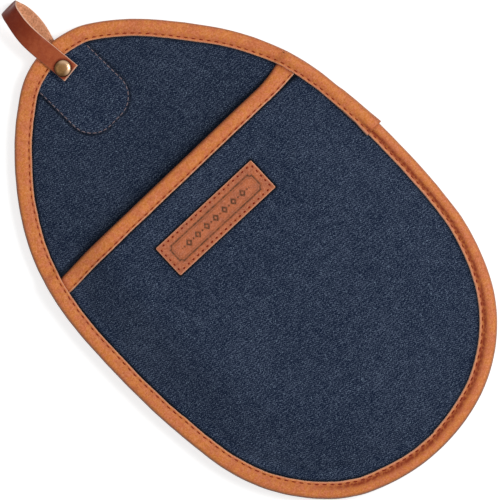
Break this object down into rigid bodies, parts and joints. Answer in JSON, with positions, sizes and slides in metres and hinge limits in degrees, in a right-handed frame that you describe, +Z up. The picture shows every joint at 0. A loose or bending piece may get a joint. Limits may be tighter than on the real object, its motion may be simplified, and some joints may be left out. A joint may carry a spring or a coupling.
{
  "type": "oven mitt",
  "caption": "Flat padded denim oven mitt with a hand pocket over its wide end, leather-bound rim and pocket mouth, a bare leather label and a riveted leather hanging strap.",
  "frame": {"origin": "middle of the flat resting face of the padded back, half way along the mitt's body, on the centre line", "axes": "+Z up through the thickness, from the padded back to the pocket; +Y along the centre line from the wide base to the tip with the strap; +X to the right when the pocket faces the viewer and the strap is up"},
  "size_m": [0.1946, 0.3294, 0.0234],
  "materials": {
    "denim": "dark indigo twill, matt",
    "wadding": "cotton batting",
    "lining": "plain woven cotton, matt",
    "tan_leather": "orange-tan, satin, fine grain",
    "label_leather": "dusty tan, matt",
    "brown_leather": "red-brown, satin",
    "brass": "antique, rubbed bright on the high spots"
  },
  "bodies": {
    "mitt": {"back_panel": "denim", "back_wadding": "wadding", "palm_panel": "denim", "rivet_patch": "denim", "pocket_lining": "lining", "pocket_wadding": "wadding", "pocket_panel": "denim", "mouth_binding": "tan_leather", "rim_binding": "tan_leather", "label": "label_leather", "rivet_stud": "brass", "rivet_cap": "brass"},
    "loop": {"hanging_strap": "brown_leather"}
  },
  "joints": [
    {"name": "loop_swivel", "type": "hinge", "parent": "mitt", "child": "loop", "pos_m": [0, 0.1355, 0.0068], "axis": [0, 0, 1], "range_deg": [-70, 70]}
  ]
}
